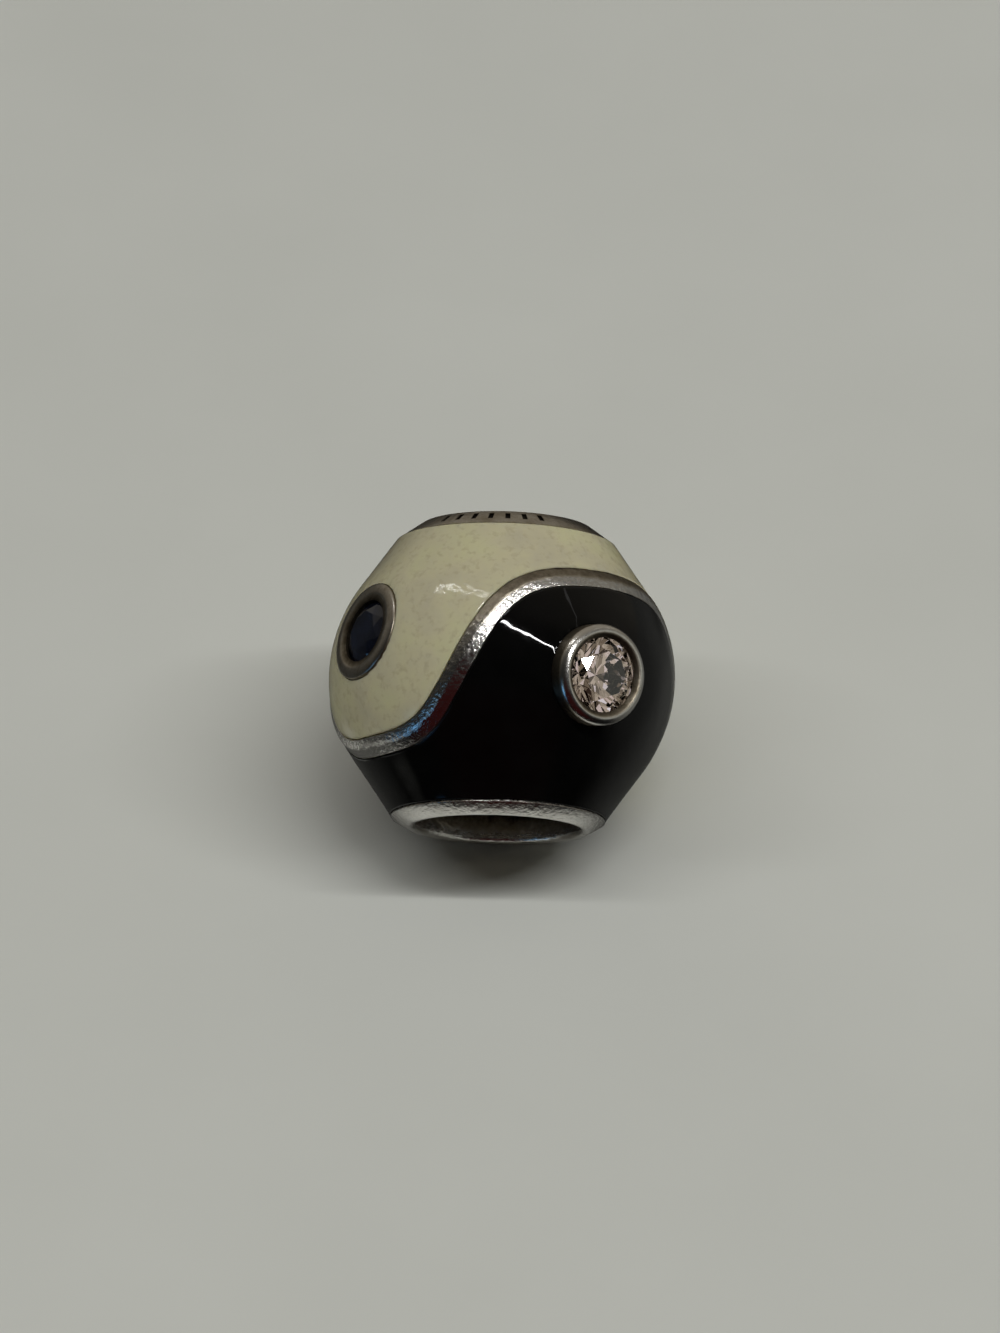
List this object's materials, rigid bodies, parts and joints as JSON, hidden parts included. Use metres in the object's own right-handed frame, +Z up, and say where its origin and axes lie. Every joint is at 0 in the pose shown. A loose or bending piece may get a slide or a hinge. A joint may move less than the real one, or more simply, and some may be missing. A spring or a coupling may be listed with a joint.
{
  "type": "european charm bead",
  "caption": "Large-hole silver bead with a yin-yang wave of cream and black enamel and round bezel-set stones.",
  "frame": {"origin": "middle of the thread bore, on its axis", "axes": "+Z up with the bead lying on the cone of its black end, -Y towards the black end, +X to the right as seen from the black end"},
  "size_m": [0.0098, 0.0099, 0.0095],
  "materials": {
    "silver": "cast sterling silver, polished and worn, with brown tarnish in the corners",
    "cream_enamel": "glossy opaque cream enamel, slightly yellowed",
    "black_enamel": "glossy opaque black enamel",
    "clear_stone": "clear round brilliant, cubic zirconia",
    "black_stone": "polished black round brilliant"
  },
  "bodies": {
    "root": {"silver_body": "silver", "cream_enamel": "cream_enamel", "black_enamel": "black_enamel", "clear_stone_1": "clear_stone", "clear_stone_2": "clear_stone", "black_stone_2": "black_stone", "black_stone_1": "black_stone"}
  },
  "joints": []
}
